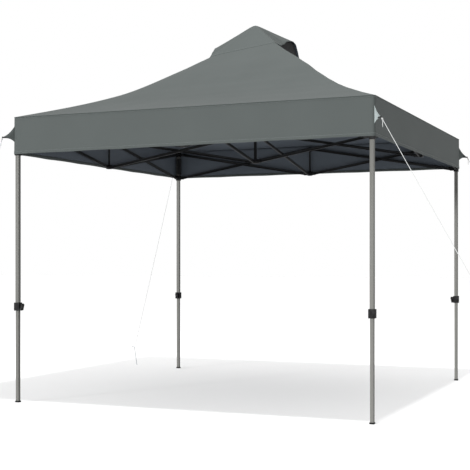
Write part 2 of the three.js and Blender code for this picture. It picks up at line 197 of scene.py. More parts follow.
# %% [markdown]
# ## Finishes of the hard parts
#
# The legs are steel tube with a silver powder coat. Powder is sprayed on dry and melted in
# an oven, so it flows into a skin with a faint orange-peel ripple and a soft, wide shine. Tiny
# flakes in it catch the light. The grain is real at 1 to 2 mm, and the ripple at 6 mm.

# %% Silver powder coat
def powder_coat(name, dark, light, metallic, rough, gloss, grain_mm, peel_mm):
    """Paint with flakes a grain apart and an orange-peel ripple."""
    material, tree = finish_of(name)
    place = add(tree, "ShaderNodeTexCoord").outputs["Object"]
    grain = add(tree, "ShaderNodeTexNoise", inputs={
        "Vector": place, "Scale": 1000 / grain_mm, "Detail": 3.0, "Roughness": 0.6})
    peel = add(tree, "ShaderNodeTexNoise", inputs={
        "Vector": place, "Scale": 1000 / peel_mm, "Detail": 1.0})
    ripple = add(tree, "ShaderNodeBump", inputs={
        "Height": peel.outputs["Fac"], "Strength": 0.25, "Distance": 0.0004})
    shade(tree, {
        "Base Color": mixed(tree, grain.outputs["Fac"], dark, light),
        "Metallic": metallic,
        "Roughness": spread(tree, peel.outputs["Fac"], rough - 0.06, rough + 0.08),
        "Specular IOR Level": gloss,
        "Normal": ripple.outputs["Normal"],
    })
    return material


SILVER_COAT = powder_coat(
    "silver_powder_coated_steel", "#4C4C4A", "#5B5B57",
    metallic=0.15, rough=0.55, gloss=0.25, grain_mm=2.0, peel_mm=6.0)
print("made", SILVER_COAT.name)

# %% [markdown]
# The truss bars wear the same kind of coat in black, without flakes, so it is not metallic
# to the eye.

# %% Black powder coat
BLACK_COAT = powder_coat(
    "black_powder_coated_steel", "#060708", "#0C0D0F",
    metallic=0.0, rough=0.62, gloss=0.2, grain_mm=2.5, peel_mm=6.0)
print("made", BLACK_COAT.name)

# %% [markdown]
# Hubs, sliders, clamps and feet are moulded in black nylon filled with glass fibre. The
# mould is spark-eroded, which leaves an even satin grain a little under a millimetre, and
# where hands and bars rub it the surface turns smoother and greyer.

# %% Moulded black nylon
def moulded_nylon(name, dark, worn):
    """Satin plastic: a spark-eroded grain, with paler, rubbed patches some 25 mm across."""
    material, tree = finish_of(name)
    place = add(tree, "ShaderNodeTexCoord").outputs["Object"]
    grain = add(tree, "ShaderNodeTexVoronoi", inputs={"Vector": place, "Scale": 1000 / 0.9})
    rubbed = add(tree, "ShaderNodeTexNoise", inputs={
        "Vector": place, "Scale": 1000 / 25, "Detail": 4.0})
    patches = add(tree, "ShaderNodeMapRange", inputs={
        "Value": rubbed.outputs["Fac"], "From Min": 0.45, "From Max": 0.75})
    dimple = add(tree, "ShaderNodeBump", inputs={
        "Height": grain.outputs["Distance"], "Strength": 0.2, "Distance": 0.0002})
    shade(tree, {
        "Base Color": mixed(tree, patches.outputs["Result"], dark, worn),
        "Roughness": spread(tree, patches.outputs["Result"], 0.7, 0.5),
        "IOR": 1.53,
        "Specular IOR Level": 0.15,
        "Normal": dimple.outputs["Normal"],
    })
    return material


NYLON = moulded_nylon("moulded_black_nylon", "#060607", "#0F1011")
print("made", NYLON.name)

# %% [markdown]
# The pegs are drawn steel wire with a thin zinc plating. Zinc is a blue-grey metal, and its
# crystals show as soft mottling a few millimetres across.

# %% Zinc-plated steel
def zinc_plate(name, dark, light):
    """Bright zinc, mottled by its crystals."""
    material, tree = finish_of(name)
    place = add(tree, "ShaderNodeTexCoord").outputs["Object"]
    crystals = add(tree, "ShaderNodeTexVoronoi", {"feature": "SMOOTH_F1"}, {
        "Vector": place, "Scale": 1000 / 3.5})
    drawn = add(tree, "ShaderNodeTexNoise", inputs={
        "Vector": place, "Scale": 1000 / 1.2, "Detail": 2.0})
    scratch = add(tree, "ShaderNodeBump", inputs={
        "Height": drawn.outputs["Fac"], "Strength": 0.15, "Distance": 0.0001})
    shade(tree, {
        "Base Color": mixed(tree, crystals.outputs["Distance"], dark, light),
        "Metallic": 1.0,
        "Roughness": spread(tree, crystals.outputs["Distance"], 0.28, 0.45),
        "Normal": scratch.outputs["Normal"],
    })
    return material


ZINC = zinc_plate("zinc_plated_steel", "#8C9196", "#B9BEC2")
print("made", ZINC.name)

# %% [markdown]
# ## Finishes of the cloth
#
# The roof is polyester oxford: a basket weave of flat yarns, coated on its inner face so that
# rain stays out. Outside it is a matt grey with a cool, slightly green cast. The real yarns are
# 0.5 mm apart, too fine to see from here, so the weave is drawn at 4 mm. Its map is in metres
# along and across each panel, so the yarns run with the cut of the cloth. Long, faint changes
# of tone come from how the roll took the dye and from the folds it was stored in.

# %% Coated oxford cloth
CLOTH_MAP = "cloth_metres"


def woven(name, dark, light, yarn_mm, rough, sheen, tone):
    """A plain weave on the piece's own map: bands of yarn along and across."""
    material, tree = finish_of(name)
    place = add(tree, "ShaderNodeUVMap", {"uv_map": CLOTH_MAP}).outputs["UV"]
    turns = 1000 / yarn_mm / 20     # a wave texture has 20 bands in one unit at scale 1
    along = add(tree, "ShaderNodeTexWave", {"bands_direction": "X"}, {
        "Vector": place, "Scale": turns * math.pi, "Distortion": 0.0})
    across = add(tree, "ShaderNodeTexWave", {"bands_direction": "Y"}, {
        "Vector": place, "Scale": turns * math.pi, "Distortion": 0.0})
    weave = add(tree, "ShaderNodeMath", {"operation": "MULTIPLY"}, {
        0: along.outputs["Fac"], 1: across.outputs["Fac"]})
    cloudy = add(tree, "ShaderNodeTexNoise", inputs={
        "Vector": place, "Scale": 1 / 0.45, "Detail": 3.0, "Roughness": 0.55})
    share = add(tree, "ShaderNodeMath", {"operation": "MULTIPLY_ADD"}, {
        0: weave.outputs[0], 1: 1 - tone, 2: spread(tree, cloudy.outputs["Fac"], 0, tone)})
    yarns = add(tree, "ShaderNodeBump", inputs={
        "Height": weave.outputs[0], "Strength": 0.2, "Distance": 0.0003})
    shade(tree, {
        "Base Color": mixed(tree, share.outputs[0], dark, light),
        "Roughness": rough,
        "Sheen Weight": sheen,
        "Sheen Roughness": 0.5,
        "Specular IOR Level": 0.3,
        "Normal": yarns.outputs["Normal"],
    })
    return material


OXFORD = woven("coated_polyester_oxford", "#393E3D", "#414645", 4.0, 0.8, 0.02, 0.7)
COATED_SIDE = woven("polyurethane_coated_underside", "#3F454C", "#4E555D", 4.0, 0.6, 0.0, 0.7)
# a paler, lit copy of the cloth: painted light on one face of each flap
FLAP_PAINTED_LIGHT_SIDE = woven("flap_cloth_painted_lit_side", "#7C8484", "#8B9292", 4.0, 0.5, 0.0, 0.7)
# this near-black finish also dresses the painted shade bands on the leg tops
WEBBING_AND_SHADE_BAND = woven("black_webbing_and_painted_shade_band", "#08090A", "#131416", 3.0, 0.8, 0.02, 0.4)
NETTING = woven("black_polyester_net", "#08090A", "#1A1B1D", 3.0, 0.8, 0.0, 0.1)
print("made", OXFORD.name, COATED_SIDE.name, WEBBING_AND_SHADE_BAND.name, NETTING.name)

# %% [markdown]
# Sewing thread is polyester, a shade lighter than the cloth because it stands proud and
# catches the light. The guy rope is a laid polyester cord, off-white, and its twist is in
# its mesh, so its finish only adds the fine fibres.

# %% Thread and rope
def spun_fibre(name, dark, light, fibre_mm):
    """Fibres: fine streaks, matt, with a little sheen."""
    material, tree = finish_of(name)
    place = add(tree, "ShaderNodeTexCoord").outputs["Object"]
    fibres = add(tree, "ShaderNodeTexNoise", inputs={
        "Vector": place, "Scale": 1000 / fibre_mm, "Detail": 2.0})
    fuzz = add(tree, "ShaderNodeBump", inputs={
        "Height": fibres.outputs["Fac"], "Strength": 0.3, "Distance": 0.0003})
    shade(tree, {
        "Base Color": mixed(tree, fibres.outputs["Fac"], dark, light),
        "Roughness": 0.85,
        "Sheen Weight": 0.2,
        "Normal": fuzz.outputs["Normal"],
    })
    return material


THREAD = spun_fibre("grey_polyester_thread", "#5A605F", "#6C7271", 1.0)
ROPE = spun_fibre("off_white_laid_cord", "#9A9C9C", "#B8B9B8", 1.5)
print("made", THREAD.name, ROPE.name)

# %% [markdown]
# ## Guy ropes
#
# Each rope is pulled tight from the eye of a corner flap to a peg, about two metres away. A
# tight rope still sags a little, 8 mm at its middle here. It is a laid cord of three strands,
# so the tube's skin is pressed in along three lines that wind round it, one turn in 18 mm.
# A swept tube written in code keeps those lines exact from one end to the other.

# %% A tube swept along points
def frames_along(points):
    """For each point: the direction of travel and two sides that never twist."""
    result = []
    ahead = (points[1] - points[0]).normalized()
    side = ahead.orthogonal().normalized()
    for i, here in enumerate(points):
        back = points[max(i - 1, 0)]
        front = points[min(i + 1, len(points) - 1)]
        way = (front - back).normalized()
        side = (side - way * side.dot(way)).normalized()
        result.append((here, side, way.cross(side)))
    return result


def tube(points, radius, sides, skin=lambda run, angle: 1.0):
    """Points and faces of a closed tube; skin gives the share of the radius all round."""
    verts, faces = [], []
    run = 0.0
    previous = points[0]
    for here, side, up in frames_along(points):
        run += (here - previous).length
        previous = here
        for i in range(sides):
            angle = 2 * math.pi * i / sides
            reach = radius * skin(run, angle)
            verts.append(here + (side * math.cos(angle) + up * math.sin(angle)) * reach)
    rings = len(points)
    for j in range(rings - 1):
        for i in range(sides):
            a, b = j * sides + i, j * sides + (i + 1) % sides
            faces.append((a, b, b + sides, a + sides))
    faces.append(tuple(reversed(range(sides))))
    faces.append(tuple(range((rings - 1) * sides, rings * sides)))
    return verts, faces


print("a tube swept along 2 points has", len(tube([Vector((0, 0, 0)), Vector((0, 0, 1))],
                                                  0.01, 8)[1]), "faces with 8 sides")

# %% Even steps along a smooth path
def smooth_path(points, step):
    """Points an even step apart on a smooth curve through the given ones."""
    ends = [points[0] * 2 - points[1], *points, points[-1] * 2 - points[-2]]
    dense = []
    for i in range(1, len(ends) - 2):
        p0, p1, p2, p3 = ends[i - 1:i + 3]
        for t in (n / 24 for n in range(24)):
            dense.append(0.5 * (2 * p1 + (p2 - p0) * t + (2 * p0 - 5 * p1 + 4 * p2 - p3) * t * t
                                + (3 * p1 - p0 - 3 * p2 + p3) * t ** 3))
    dense.append(points[-1].copy())
    length = sum((b - a).length for a, b in zip(dense, dense[1:]))
    count = max(round(length / step), 2)
    result, run, i = [dense[0].copy()], 0.0, 0
    for n in range(1, count):
        goal = length * n / count
        while run + (dense[i + 1] - dense[i]).length < goal:
            run += (dense[i + 1] - dense[i]).length
            i += 1
        share = (goal - run) / (dense[i + 1] - dense[i]).length
        result.append(dense[i].lerp(dense[i + 1], share))
    result.append(dense[-1].copy())
    return result


print("path tools ready")

# %% Rope sizes and where the pegs stand
ROPE_RADIUS = 0.00225
ROPE_SAG = 0.008
STRAND_TURN = 0.018
EYE_REACH = 1.475 * math.sqrt(2) + 0.085      # flap tip from the tent's middle
EYE_Z = 2.100
ROPE_START = 0.00255        # the rope's first point, out from the eye: its radius and a seat gap
PEG_LEAN = 0.030            # the peg's neck stands this far out from its foot
PEG_CLEAR = 0.00495         # rope to peg, middle to middle
NECK_Z = 0.1893
PEG_FEET = {
    "back_right": (2.500, 1.660),
    "back_left": (-2.000, 1.560),
    "front_left": (-2.080, -1.640),
    "front_right": (2.600, -1.600),
}


def laid(run, angle):
    """Three strands wound round each other: the skin dips in the grooves between them."""
    return 0.84 + 0.16 * abs(math.cos(1.5 * (angle - 2 * math.pi * run / STRAND_TURN)))


def corner_heading(quarter):
    angle = math.radians(45 + 90 * quarter)
    return Vector((math.cos(angle), math.sin(angle), 0))


print("flap tips are", round(EYE_REACH, 3), "m from the tent's middle")

# %% The knot at the eye
def knot(corner, start, towards):
    """Three turns of the rope's end round itself, and the short tail that hangs from them."""
    side = towards.orthogonal().normalized()
    up = towards.cross(side)
    path = []
    for n in range(37):
        angle = 2 * math.pi * 3 * n / 36
        centre = start + towards * (0.007 + 0.015 * n / 36)
        path.append(centre + (side * math.cos(angle) + up * math.sin(angle)) * ROPE_RADIUS * 1.9)
    end = path[-1]
    for down, out in ((0.008, 0.004), (0.020, 0.006), (0.034, 0.005), (0.048, 0.008)):
        path.append(end + Vector((0, 0, -down)) + Vector((towards.x, towards.y, 0)) * out)
    fine = smooth_path(path, 0.0015)
    piece = new_piece(f"rope_knot_{corner}", *tube(fine, ROPE_RADIUS * 0.9, 8, laid))
    piece.data.materials.append(ROPE)
    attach(piece, f"outer_leg_{corner}")
    return piece


print("a knot takes three turns")

# %% The four ropes
rope_paths = {}
for quarter, corner in enumerate(CORNERS):
    foot_x, foot_y = PEG_FEET[corner]
    outward = math.copysign(1, foot_x)
    start = corner_heading(quarter) * (EYE_REACH + ROPE_START) + Vector((0, 0, EYE_Z))
    neck = Vector((foot_x + outward * (PEG_LEAN - PEG_CLEAR), foot_y, NECK_Z))
    middle = start.lerp(neck, 0.5) - Vector((0, 0, ROPE_SAG))
    route = [start]
    for n in range(1, 24):
        t = n / 24
        straight = start.lerp(neck, t)
        route.append(straight - Vector((0, 0, ROPE_SAG * 4 * t * (1 - t))))
    route.append(neck)
    rope_paths[corner] = route

for corner, route in rope_paths.items():
    fine = smooth_path(route, 0.003)
    rope = new_piece(f"guy_rope_cord_{corner}", *tube(fine, ROPE_RADIUS, 10, laid))
    rope.data.materials.append(ROPE)
    tied = knot(corner, route[0], (route[1] - route[0]).normalized())
    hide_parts(f"guy_rope_{corner}")
    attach(rope, f"outer_leg_{corner}")

# %% [markdown]
# ## Floor and light
#
# The set is a white studio: a wide matt floor and white walls, whose bounced light does most of
# the work. A softbox almost overhead lays the shadow under the roof. A low light at the front
# left reaches the front valance and the legs, and leaves the right-hand side darker. It is
# nearly level, so its shadows fall far behind. A weak wide light from above, with no shadow,
# keeps the far floor white.

# %% Floor
def studio_floor(name):
    """Matt white paint on a smooth screed, with broad, barely visible clouds."""
    material, tree = finish_of(name)
    place = add(tree, "ShaderNodeTexCoord").outputs["Object"]
    clouds = add(tree, "ShaderNodeTexNoise", inputs={"Vector": place, "Scale": 0.6, "Detail": 2.0})
    shade(tree, {
        "Base Color": mixed(tree, clouds.outputs["Fac"], "#F4F4F4", "#F7F7F7"),
        "Roughness": 0.95,
        "Specular IOR Level": 0.1,
    })
    return material


reach = 60.0
FLOOR_Z = -0.0005           # just under the feet
floor_corners = ((-reach, -reach), (reach, -reach), (reach, reach), (-reach, reach))
floor = new_piece("studio_floor", [(x, y, FLOOR_Z) for x, y in floor_corners], [(0, 1, 2, 3)])
floor.data.materials.append(studio_floor("matt_white_floor"))
print("floor", floor.dimensions.x, "m wide")

# %% Lamps and walls
def lamp(name, power, angle, towards):
    """A far-off lamp: power in units of white paint's brightness, and the way it stands."""
    data = bpy.data.lights.new(name, "SUN")
    data.energy = power * math.pi
    data.angle = math.radians(angle)
    made = bpy.data.objects.new(name, data)
    scene.collection.objects.link(made)
    made.rotation_euler = Vector(towards).to_track_quat("Z", "Y").to_euler()
    return made


def softbox(name, power, size, at, aimed_at):
    """A round lamp close by: power is white paint's brightness on the floor below it."""
    data = bpy.data.lights.new(name, "AREA")
    data.shape = "DISK"
    data.size = size
    data.energy = power * math.pi ** 2 * at[2] ** 2
    made = bpy.data.objects.new(name, data)
    scene.collection.objects.link(made)
    made.location = at
    made.rotation_euler = (Vector(at) - Vector(aimed_at)).to_track_quat("Z", "Y").to_euler()
    return made


softbox("overhead_softbox", 0.5, 0.5, (1.46, -1.94, 9.3), (0.0, 0.0, 0.0))
lamp("low_front_window", 1.25, 5, (-0.42, -0.90, 0.10))
ceiling = lamp("ceiling_bounce", 0.13, 20, (0, 0, 1))
ceiling.data.use_shadow = False

walls = bpy.data.worlds.new("white_walls")
walls.use_nodes = True
walls.node_tree.nodes.clear()
seen = add(walls.node_tree, "ShaderNodeLightPath").outputs["Is Camera Ray"]
power = add(walls.node_tree, "ShaderNodeMapRange", inputs={
    "Value": seen, "To Min": 0.85, "To Max": 1.0})
glow = add(walls.node_tree, "ShaderNodeBackground", inputs={
    "Color": (1, 1, 1, 1), "Strength": power.outputs["Result"]})
add(walls.node_tree, "ShaderNodeOutputWorld", inputs={"Surface": glow.outputs["Background"]})
scene.world = walls
scene.view_settings.view_transform = "Standard"
print("lamps and walls ready")

# %% [markdown]
# ## Rounded edges for the hard parts
#
# A CAD solid has knife edges, and nothing real has. Rolled tube is round at its corners,
# and plastic can't be moulded sharp. Each hard part is copied, its loose triangles are joined,
# flat faces are made whole, and every long edge is marked for a Bevel modifier. Short edges,
# as round a pin hole, are left, because a bevel there would eat the hole.

# %% Copy a hard part and mark its edges
SHORT_EDGE = 0.006


def rounded_part(node, name, radius, finishes, pick=lambda centre: 0):
    """A rounded copy of a CAD part that stands for it; pick gives a face's finish by place."""
    mesh = frame["nodes"][node].data.copy()
    mesh.name = name
    mesh.materials.clear()
    for finish in finishes:
        mesh.materials.append(finish)
    shell = bmesh.new()
    shell.from_mesh(mesh)
    bmesh.ops.remove_doubles(shell, verts=shell.verts, dist=0.00002)
    bmesh.ops.dissolve_limit(shell, angle_limit=math.radians(0.5), verts=shell.verts,
                             edges=shell.edges)
    marks = shell.edges.layers.float.new("bevel_weight_edge")
    for edge in shell.edges:
        if len(edge.link_faces) == 2 and edge.calc_length() > SHORT_EDGE:
            if edge.calc_face_angle() > math.radians(50):
                edge[marks] = 1.0
    for face in shell.faces:
        face.smooth = True
        face.material_index = pick(face.calc_center_median())
    shell.to_mesh(mesh)
    shell.free()
    part = bpy.data.objects.new(name, mesh)
    scene.collection.objects.link(part)
    bevel = part.modifiers.new("rounded_edges", "BEVEL")
    bevel.limit_method = "WEIGHT"
    bevel.width = radius
    bevel.segments = 2
    bevel.use_clamp_overlap = False
    bevel.harden_normals = True
    home = frame["nodes"][node]["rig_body"]
    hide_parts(node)
    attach(part, home)
    return part


print("edges longer than", SHORT_EDGE * 1000, "mm are rounded")

# %% [markdown]
# The outer leg is three things in one solid: the silver tube, the black bracket pushed into
# its top, and the black clamp collar round its foot. The inner leg is a silver tube in a
# black foot cap. A face's height says which finish it wears.

# %% Legs
CLAMP_TOP = leg_low.z + 0.064
BRACKET_FOOT = UPPER_Z - 0.018
FOOT_TOP = 0.012


def outer_leg_finish(centre):
    return 1 if centre.z < CLAMP_TOP + 0.001 or centre.z > BRACKET_FOOT - 0.001 else 0


for corner in CORNERS:
    outer = rounded_part(f"outer_leg_{corner}", f"outer_leg_tube_{corner}", 0.0012,
                         [SILVER_COAT, NYLON], outer_leg_finish)
    inner = rounded_part(f"inner_leg_{corner}", f"inner_leg_tube_{corner}", 0.0010,
                         [SILVER_COAT, NYLON],
                          lambda centre: 1 if centre.z < FOOT_TOP + 0.001 else 0)
print("outer leg from", round(leg_low.z, 3), "to", round(leg_high.z, 3), "m")

# %% [markdown]
# The sliders, levers, connectors and hubs are nylon mouldings, with a larger radius on their
# edges, as a mould needs. The centre pole is nylon-black steel, so it takes the bars' coat.

# %% Mouldings
for corner in CORNERS:
    for kind in ("slider", "lever"):
        part = rounded_part(f"{kind}_{corner}", f"{kind}_moulding_{corner}", 0.0015, [NYLON])
for side in SIDES:
    for kind in ("mid_upper", "mid_lower"):
        part = rounded_part(f"{kind}_{side}", f"{kind}_moulding_{side}", 0.0015, [NYLON])
for node, top in (("upper_hub", 9.0), ("lower_hub_and_pole", LOWER_Z + 0.019), ("pole_tip", 0.0)):
    part = rounded_part(node, f"{node}_moulding", 0.0015, [NYLON, BLACK_COAT],
                        lambda centre, top=top: 1 if centre.z > top else 0)
print("mouldings: 4 sliders, 4 levers, 8 connectors, 3 hub parts")

# %% [markdown]
# All 24 truss bars are the same rolled tube with flattened, drilled ends, in two lengths.

# %% Bars
BAR_NODES = sorted(n for n in frame["nodes"] if "_bar_" in n)
for node in BAR_NODES:
    part = rounded_part(node, f"{node}_tube", 0.0010, [BLACK_COAT])
print(len(BAR_NODES), "bars")

# %% [markdown]
# The pegs keep their CAD shape, a bent wire, and only get the zinc finish.

# %% Pegs
for corner in CORNERS:
    peg = frame["nodes"][f"peg_{corner}"]
    peg.data.materials.clear()
    peg.data.materials.append(ZINC)
print("pegs wear", ZINC.name)

# %% [markdown]
# ## Rivets
#
# Every pivot of the truss is a rivet with a domed head over a thin washer on each side, sixty
# rivets and 120 heads. They could be modelled one by one, but they all follow one rule: a place
# and a facing. So each body gets a cloud of points with a facing on each, and one Geometry
# Nodes tree puts the same head on every point.

# %% Where the rivets are
PIVOT = 0.045
PLY = 0.007
FORK_STACK = 0.0104
PAIR_STACK = 0.013
HALF = (leg_low.x + leg_high.x) / 2
heads = {}


def rivet(body, centre, across, half_stack):
    """Notes the two heads of a rivet: its middle, its direction and half its grip."""
    for way in (1, -1):
        heads.setdefault(body, []).append((centre + across * half_stack * way, across * way))


def pair_rivets(start, heading, fall_side, bodies):
    """The five rivets of one pair of bars, from the connector it starts at."""
    left = Vector((-heading.y, heading.x, 0)) * fall_side
    near, far = start + heading * PIVOT, start + heading * (HALF - PIVOT)
    upper, lower, far_lower, far_upper, falling = bodies
    rivet(upper, Vector((*(near + left * PLY).xy, UPPER_Z)), left, FORK_STACK)
    rivet(lower, Vector((*(near - left * PLY).xy, LOWER_Z)), left, FORK_STACK)
    rivet(far_lower, Vector((*(far + left * PLY).xy, LOWER_Z)), left, FORK_STACK)
    rivet(far_upper, Vector((*(far - left * PLY).xy, UPPER_Z)), left, FORK_STACK)
    rivet(falling, Vector((*((near + far) / 2).xy, (UPPER_Z + LOWER_Z) / 2)), left, PAIR_STACK)


for k, side in enumerate(SIDES):
    out = turned((1, 0, 0), k)
    pair_rivets(Vector((0, 0, 0)), out, 1, (
        "upper_hub", "lower_hub", f"mid_lower_{side}", f"mid_upper_{side}",
         f"inner_bar_{side}_falling"))
    for way in (1, -1):
        toward = SIDES[(k + way) % 4]
        corner = corner_of(k, way)
        pair_rivets(turned((HALF, 0, 0), k), turned((0, way, 0), k), -way, (
            f"mid_upper_{side}", f"mid_lower_{side}", f"slider_{corner}", f"outer_leg_{corner}",
            f"{side}_bar_to_{toward}_slider"))

# %% The rivet-head tree
rivet_tree = bpy.data.node_groups.new("rivet_heads", "GeometryNodeTree")
face = rivet_tree.interface
face.new_socket("Geometry", in_out="INPUT", socket_type="NodeSocketGeometry")
RIVET_SIZES = {"Head radius": 0.0052, "Head height": 0.0026, "Washer radius": 0.0068,
               "Washer height": 0.0008}
for size_name, size in RIVET_SIZES.items():
    socket = face.new_socket(size_name, in_out="INPUT", socket_type="NodeSocketFloat")
    socket.default_value = size
face.new_socket("Finish", in_out="INPUT", socket_type="NodeSocketMaterial")
face.new_socket("Geometry", in_out="OUTPUT", socket_type="NodeSocketGeometry")
given = add(rivet_tree, "NodeGroupInput").outputs

washer = add(rivet_tree, "GeometryNodeMeshCylinder", {"fill_type": "NGON"}, {
    "Vertices": 16, "Radius": given["Washer radius"], "Depth": given["Washer height"]})
ball = add(rivet_tree, "GeometryNodeMeshUVSphere", inputs={
    "Segments": 14, "Rings": 6, "Radius": 1.0})
squat = add(rivet_tree, "ShaderNodeCombineXYZ", inputs={
    "X": given["Head radius"], "Y": given["Head radius"], "Z": given["Head height"]})
dome = add(rivet_tree, "GeometryNodeTransform", inputs={
    "Geometry": ball.outputs["Mesh"], "Scale": squat.outputs["Vector"]})
head = add(rivet_tree, "GeometryNodeJoinGeometry")
rivet_tree.links.new(washer.outputs["Mesh"], head.inputs["Geometry"])
rivet_tree.links.new(dome.outputs["Geometry"], head.inputs["Geometry"])

facing = add(rivet_tree, "GeometryNodeInputNamedAttribute", {"data_type": "FLOAT_VECTOR"},
             {"Name": "facing"})
aim = add(rivet_tree, "FunctionNodeAlignRotationToVector", {"axis": "Z"},
          {"Vector": facing.outputs["Attribute"]})
placed = add(rivet_tree, "GeometryNodeInstanceOnPoints", inputs={
    "Points": given["Geometry"], "Instance": head.outputs["Geometry"],
    "Rotation": aim.outputs["Rotation"]})
real = add(rivet_tree, "GeometryNodeRealizeInstances",
           inputs={"Geometry": placed.outputs["Instances"]})
coated = add(rivet_tree, "GeometryNodeSetMaterial", inputs={
    "Geometry": real.outputs["Geometry"], "Material": given["Finish"]})
add(rivet_tree, "NodeGroupOutput", inputs={"Geometry": coated.outputs["Geometry"]})
print("rivet tree:", len(rivet_tree.nodes), "nodes")

# %% Grow the heads and make them plain meshes
def grown(name, seed_piece, tree, values):
    """The seed object with the tree run on it, as a plain mesh; the seed is removed."""
    modifier = seed_piece.modifiers.new(tree.name, "NODES")
    modifier.node_group = tree
    for item in tree.interface.items_tree:
        if item.in_out == "INPUT" and item.name in values:
            modifier[item.identifier] = values[item.name]
    seed_piece.data.update()
    evaluated = seed_piece.evaluated_get(bpy.context.evaluated_depsgraph_get())
    mesh = bpy.data.meshes.new_from_object(evaluated)
    mesh.name = name
    seed_piece.modifiers.remove(modifier)
    bpy.data.objects.remove(seed_piece)
    piece = bpy.data.objects.new(name, mesh)
    scene.collection.objects.link(piece)
    return piece


for body, places in sorted(heads.items()):
    seed = new_piece(f"{body}_rivet_places", [p for p, _ in places], [])
    field = seed.data.attributes.new("facing", "FLOAT_VECTOR", "POINT")
    field.data.foreach_set("vector", [c for _, way in places for c in way])
    piece = grown(f"{body}_rivets", seed, rivet_tree, {"Finish": BLACK_COAT})
    for polygon in piece.data.polygons:
        polygon.use_smooth = True
    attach(piece, body)

# %% [markdown]
# ## The cover's shape
#
# The roof is four panels sewn together along the hips. A hip is a hollow curve: shallow at the
# corner, steep below the vent. The cloth hangs between the hips and dips a little at the
# middle of each panel. So one rule gives every point: a ring of the square, how far along its
# side, and the hip's height at that ring. Below the eave the same rings go straight down
# as the valance.

# %% The hip curve
HIP = ((1.475, 2.262), (0.870, 2.481), (0.500, 2.712), (0.300, 2.855), (0.200, 2.925))
EAVE_HALF, EAVE_Z = HIP[0]
VALANCE_Z = cover_low.z
CORNER_ROUND = 0.016
PEAK_Z = cover_high.z


def hip_z(half):
    """Height of the hip at a half width: a smooth curve through the hip points."""
    knots = list(reversed(HIP))
    slopes = [(b[1] - a[1]) / (b[0] - a[0]) for a, b in zip(knots, knots[1:])]
    between = [2 * p * q / (p + q) for p, q in zip(slopes, slopes[1:])]
    tangents = [slopes[0], *between, slopes[-1] * 0.88]
    half = min(max(half, knots[0][0]), knots[-1][0])
    for i, (a, b) in enumerate(zip(knots, knots[1:])):
        if half <= b[0] + 1e-9:
            span = b[0] - a[0]
            t = (half - a[0]) / span
            return ((2 * t ** 3 - 3 * t * t + 1) * a[1]
                    + (t ** 3 - 2 * t * t + t) * span * tangents[i]
                    + (3 * t * t - 2 * t ** 3) * b[1]
                    + (t ** 3 - t * t) * span * tangents[i + 1])
    return knots[-1][1]


print("hip heights:", [round(hip_z(h), 3) for h in (1.475, 1.2, 0.87, 0.5, 0.2)])

# %% Points of a ring, and tables read smoothly
def ring_point(quarter, along, half, z):
    """A point on a square ring with rounded corners; along runs from -1 to 1 on each side."""
    flat = half - CORNER_ROUND
    side = along * half
    out = half
    if abs(side) > flat:
        bend = (abs(side) - flat) / CORNER_ROUND * math.pi / 4
        out = flat + CORNER_ROUND * math.cos(bend)
        side = math.copysign(flat + CORNER_ROUND * math.sin(bend), side)
    return turned((out, side, z), quarter)


def eased(table, x):
    """A value read from a table of (x, value), with rounded turns between the rows."""
    if x <= table[0][0]:
        return table[0][1]
    for (x0, v0), (x1, v1) in zip(table, table[1:]):
        if x <= x1:
            t = (x - x0) / (x1 - x0)
            return v0 + (v1 - v0) * (0.6 * t + 0.4 * t * t * (3 - 2 * t))
    return table[-1][1]


first_corner = ring_point(0, 1.0, EAVE_HALF, EAVE_Z)
print("the eave's first corner is at", tuple(round(v, 3) for v in first_corner))

# %% How full the cloth stands
# The cover isn't pulled down evenly: it stands fuller over the front right hip than over
# the others. The first table is how far, at each half width, and the second each corner's share.
FULLNESS = ((0.20, 0.076), (0.385, 0.082), (0.615, 0.097), (0.74, 0.099), (0.875, 0.076),
            (1.02, 0.047), (1.10, 0.031), (1.21, 0.018), (1.37, 0.005), (1.475, 0.0))
FULL_SHARE = {"back_right": 0.35, "back_left": 0.15, "front_left": 0.0, "front_right": 1.0}


def fullness(quarter, along, half):
    """How far the cloth stands above the plain hip curve, going from corner to corner."""
    start = FULL_SHARE[corner_of(quarter, -1)]
    end = FULL_SHARE[corner_of(quarter, 1)]
    t = (along + 1) / 2
    if end > start:
        share = start + (end - start) * t ** 0.7
    else:
        share = end + (start - end) * (1 - t) ** 1.3
    return share * eased(FULLNESS, half)


def roof_z(quarter, along, half):
    """Height of the roof cloth: the hip, less the dip of the panel between its hips."""
    share = (EAVE_HALF - half) / (EAVE_HALF - 0.2)
    dip = 0.012 * math.sin(math.pi * share ** 0.8) * (1 - along * along)
    return hip_z(half) - dip + fullness(quarter, along, half)


print("the cloth stands", max(rise for _, rise in FULLNESS), "m over the hip at its fullest")

# %% [markdown]
# Cloth is never quite flat. Stored folds leave shallow ridges, and each corner pulls faint
# waves into the panel. The waves here are under 4 mm and come from a noise that is a fixed
# function of place, so the sheet is the same each time.

# %% Sheets made of rings
def along_steps(count):
    """Steps along one side of the square, from -1 to 1, closer near the corners."""
    for i in range(count):
        t = 2 * i / count - 1
        yield 0.35 * t + 0.65 * math.sin(math.pi * t / 2)


def ring_sheet(name, rings, count, place):
    """A sheet of square rings with a map in metres; place(quarter, along, ring) gives a point."""
    points, faces, maps = [], [], []
    steps = list(along_steps(count))
    for ring in rings:
        for quarter in range(4):
            points += [place(quarter, along, ring) for along in steps]
    around = 4 * count
    ends = steps + [1.0]
    down = [0.0]
    for a, b in zip(rings, rings[1:]):
        down.append(down[-1] + (place(0, 0, b) - place(0, 0, a)).length)
    for j in range(len(rings) - 1):
        for i in range(around):
            k = i % count
            right = (i + 1) % around
            faces.append((j * around + i, (j + 1) * around + i, (j + 1) * around + right,
                          j * around + right))
            for jj, kk in ((j, k), (j + 1, k), (j + 1, k + 1), (j, k + 1)):
                width = place(0, 0, rings[jj]).x
                maps.append((ends[kk] * width + 4.0 * (i // count), down[jj]))
    piece = new_piece(name, points, faces)
    layer = piece.data.uv_layers.new(name=CLOTH_MAP)
    layer.data.foreach_set("uv", [c for uv in maps for c in uv])
    return piece


